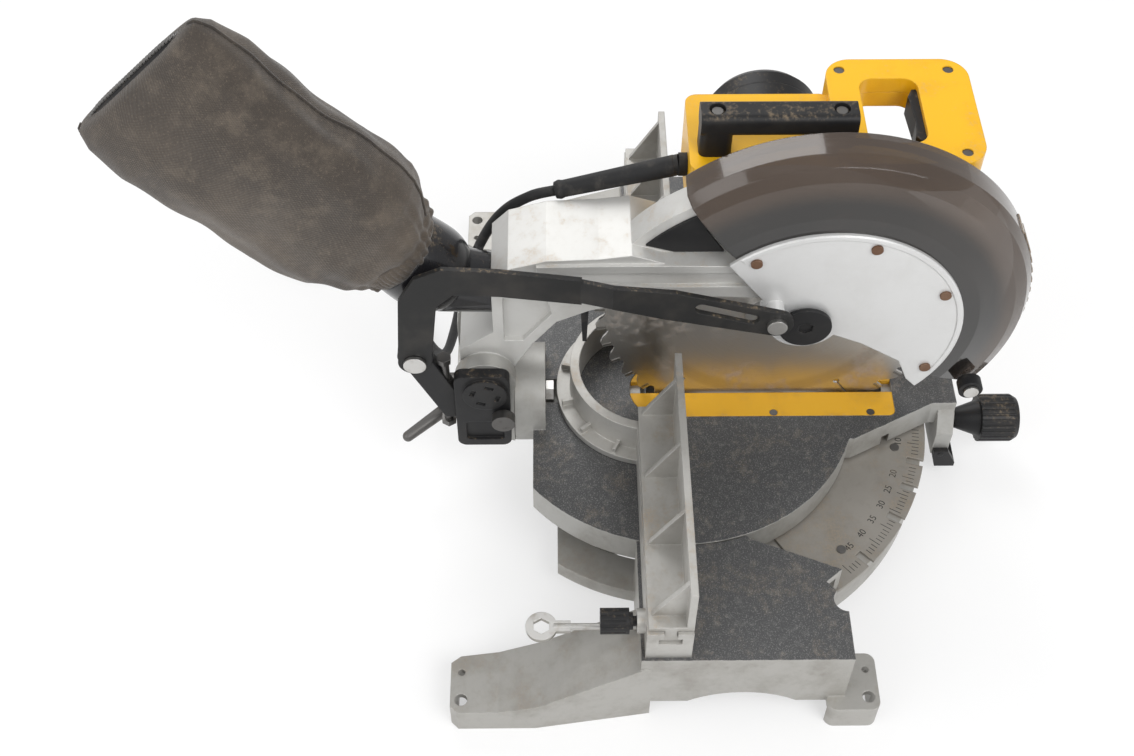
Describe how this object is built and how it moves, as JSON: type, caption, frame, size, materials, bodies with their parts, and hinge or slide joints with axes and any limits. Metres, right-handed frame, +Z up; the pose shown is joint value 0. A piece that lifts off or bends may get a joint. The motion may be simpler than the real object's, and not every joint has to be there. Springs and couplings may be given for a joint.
{
  "type": "compound mitre saw",
  "caption": "Bench mitre saw: turning slotted table, sliding fence, tilting pivot head with motor, D-handle, swinging clear guard on a link, dust bag and power cord.",
  "frame": {"origin": "centre of the four bench bolt holes, on the bench", "axes": "+Z up from the bench along the bolt holes, +X to the operator right, +Y to the rear"},
  "size_m": [0.6632, 0.793, 0.5122],
  "materials": {
    "cast_aluminium": "satin bead-blasted casting",
    "table_grey": "machined casting",
    "fence_aluminium": "machined extrusion",
    "steel": "bright zinc plate",
    "dark_steel": "black oxide",
    "blade_steel": "ground steel",
    "black_plastic": "fine texture",
    "yellow_plastic": "semi-gloss moulding",
    "kerf_plastic": "fine texture",
    "clear_guard": "smoked clear polycarbonate",
    "red_plastic": "gloss moulding",
    "bag_cloth": "woven cloth",
    "cord_rubber": "matt rubber",
    "scale_metal": "printed scale"
  },
  "bodies": {
    "base": {"base_casting": "cast_aluminium", "scale_plate": "scale_metal", "scale_screws": "dark_steel", "fixed_fence": "fence_aluminium", "fence_bolts": "dark_steel", "blade_wrench": "steel", "mitre_pivot_bolt": "dark_steel", "cord_lead": "cord_rubber", "cord_coil": "cord_rubber", "cord_plug": "cord_rubber"},
    "fence": {"sliding_fence": "fence_aluminium"},
    "fence_clamp": {"fence_knob": "black_plastic"},
    "table": {"mitre_table": "table_grey", "kerf_plates": "kerf_plastic", "kerf_screws": "dark_steel", "mitre_pointer": "red_plastic"},
    "mitre_lock": {"mitre_lock_knob": "black_plastic", "mitre_lock_rod": "steel"},
    "latch": {"mitre_latch": "black_plastic"},
    "bevel": {"bevel_support": "cast_aluminium", "chop_shaft": "steel", "pivot_cover": "black_plastic", "link_bracket": "black_plastic", "link_stud": "steel", "stop_bolts": "dark_steel", "bevel_clamp_bolt": "steel"},
    "bevel_clamp": {"bevel_lever": "dark_steel"},
    "head_lock": {"lock_pin": "dark_steel"},
    "head": {"arm_casting": "cast_aluminium", "arm_panel": "black_plastic", "gear_case": "cast_aluminium", "motor_housing": "black_plastic", "motor_end_cap": "black_plastic", "brush_caps": "black_plastic", "handle_lower": "yellow_plastic", "handle_upper": "yellow_plastic", "carry_handle": "black_plastic", "head_screws": "dark_steel", "dust_chute": "black_plastic", "dust_bag": "bag_cloth", "strain_relief": "cord_rubber", "guard_stud": "steel", "guard_cap": "black_plastic", "chip_deflector": "cord_rubber"},
    "switch": {"trigger": "black_plastic"},
    "lock_button": {"spindle_lock": "black_plastic"},
    "blade": {"spindle": "dark_steel", "saw_blade": "blade_steel", "outer_flange": "steel", "arbor_bolt": "dark_steel"},
    "guard": {"lower_guard": "clear_guard", "guard_plate": "steel", "guard_rivets": "steel", "roller_pin": "steel"},
    "roller": {"guard_roller": "cord_rubber"},
    "link": {"guard_link": "steel", "link_pin": "steel"}
  },
  "joints": [
    {"name": "mitre_turn", "type": "hinge", "parent": "base", "child": "table", "pos_m": [0, -0.016, 0.06], "axis": [0, 0, -1], "range_deg": [-50, 50]},
    {"name": "bevel_tilt", "type": "hinge", "parent": "table", "child": "bevel", "pos_m": [0, 0.134, 0.092], "axis": [0, -1, 0], "range_deg": [0, 48]},
    {"name": "chop", "type": "hinge", "parent": "bevel", "child": "head", "pos_m": [0, 0.149, 0.158], "axis": [-1, 0, 0], "range_deg": [0, 45], "deforming": ["cord_lead"]},
    {"name": "fence_slide", "type": "slide", "parent": "base", "child": "fence", "axis": [-1, 0, 0], "range_m": [0, 0.1535]},
    {"name": "fence_clamp_turn", "type": "hinge", "parent": "base", "child": "fence_clamp", "pos_m": [-0.25, 0.024, 0.116], "axis": [0, 1, 0], "range_deg": [-180, 180]},
    {"name": "mitre_lock_turn", "type": "hinge", "parent": "table", "child": "mitre_lock", "pos_m": [0, -0.306, 0.047], "axis": [0, 1, 0], "range_deg": [-180, 180]},
    {"name": "latch_lift", "type": "hinge", "parent": "table", "child": "latch", "pos_m": [0, -0.2645, 0.038], "axis": [1, 0, 0], "range_deg": [0, 10], "stiffness_Nm_per_rad": 0.4},
    {"name": "bevel_clamp_turn", "type": "hinge", "parent": "bevel", "child": "bevel_clamp", "pos_m": [0, 0.187, 0.092], "axis": [0, 1, 0], "range_deg": [-40, 40]},
    {"name": "head_lock_pull", "type": "slide", "parent": "bevel", "child": "head_lock", "axis": [-1, 0, 0], "range_m": [0, 0.012]},
    {"name": "trigger_pull", "type": "slide", "parent": "head", "child": "switch", "axis": [0, -1, 0], "range_m": [0, 0.006], "stiffness_N_per_m": 500},
    {"name": "spindle_lock_press", "type": "slide", "parent": "head", "child": "lock_button", "axis": [0, 1, 0], "range_m": [0, 0.0035], "stiffness_N_per_m": 600},
    {"name": "arbor_spin", "type": "hinge", "parent": "head", "child": "blade", "pos_m": [0, -0.097, 0.2035], "axis": [1, 0, 0], "continuous": true},
    {"name": "guard_swing", "type": "hinge", "parent": "head", "child": "guard", "pos_m": [-0.037, -0.116, 0.229], "axis": [1, 0, 0], "range_deg": [0, 97.3]},
    {"name": "guard_roller_spin", "type": "hinge", "parent": "guard", "child": "roller", "pos_m": [-0.033, -0.271, 0.1385], "axis": [1, 0, 0], "continuous": true},
    {"name": "guard_link_swing", "type": "hinge", "parent": "bevel", "child": "link", "pos_m": [-0.047, 0.206, 0.195], "axis": [1, 0, 0], "range_deg": [-40, 0]}
  ],
  "couplings": [
    {"joint": "guard_swing", "follows": "chop", "ratio": 2.1556},
    {"joint": "guard_link_swing", "follows": "chop", "ratio": -0.8756},
    {"joint": "fence_slide", "follows": "bevel_tilt", "m_per_rad": 0.1826}
  ]
}
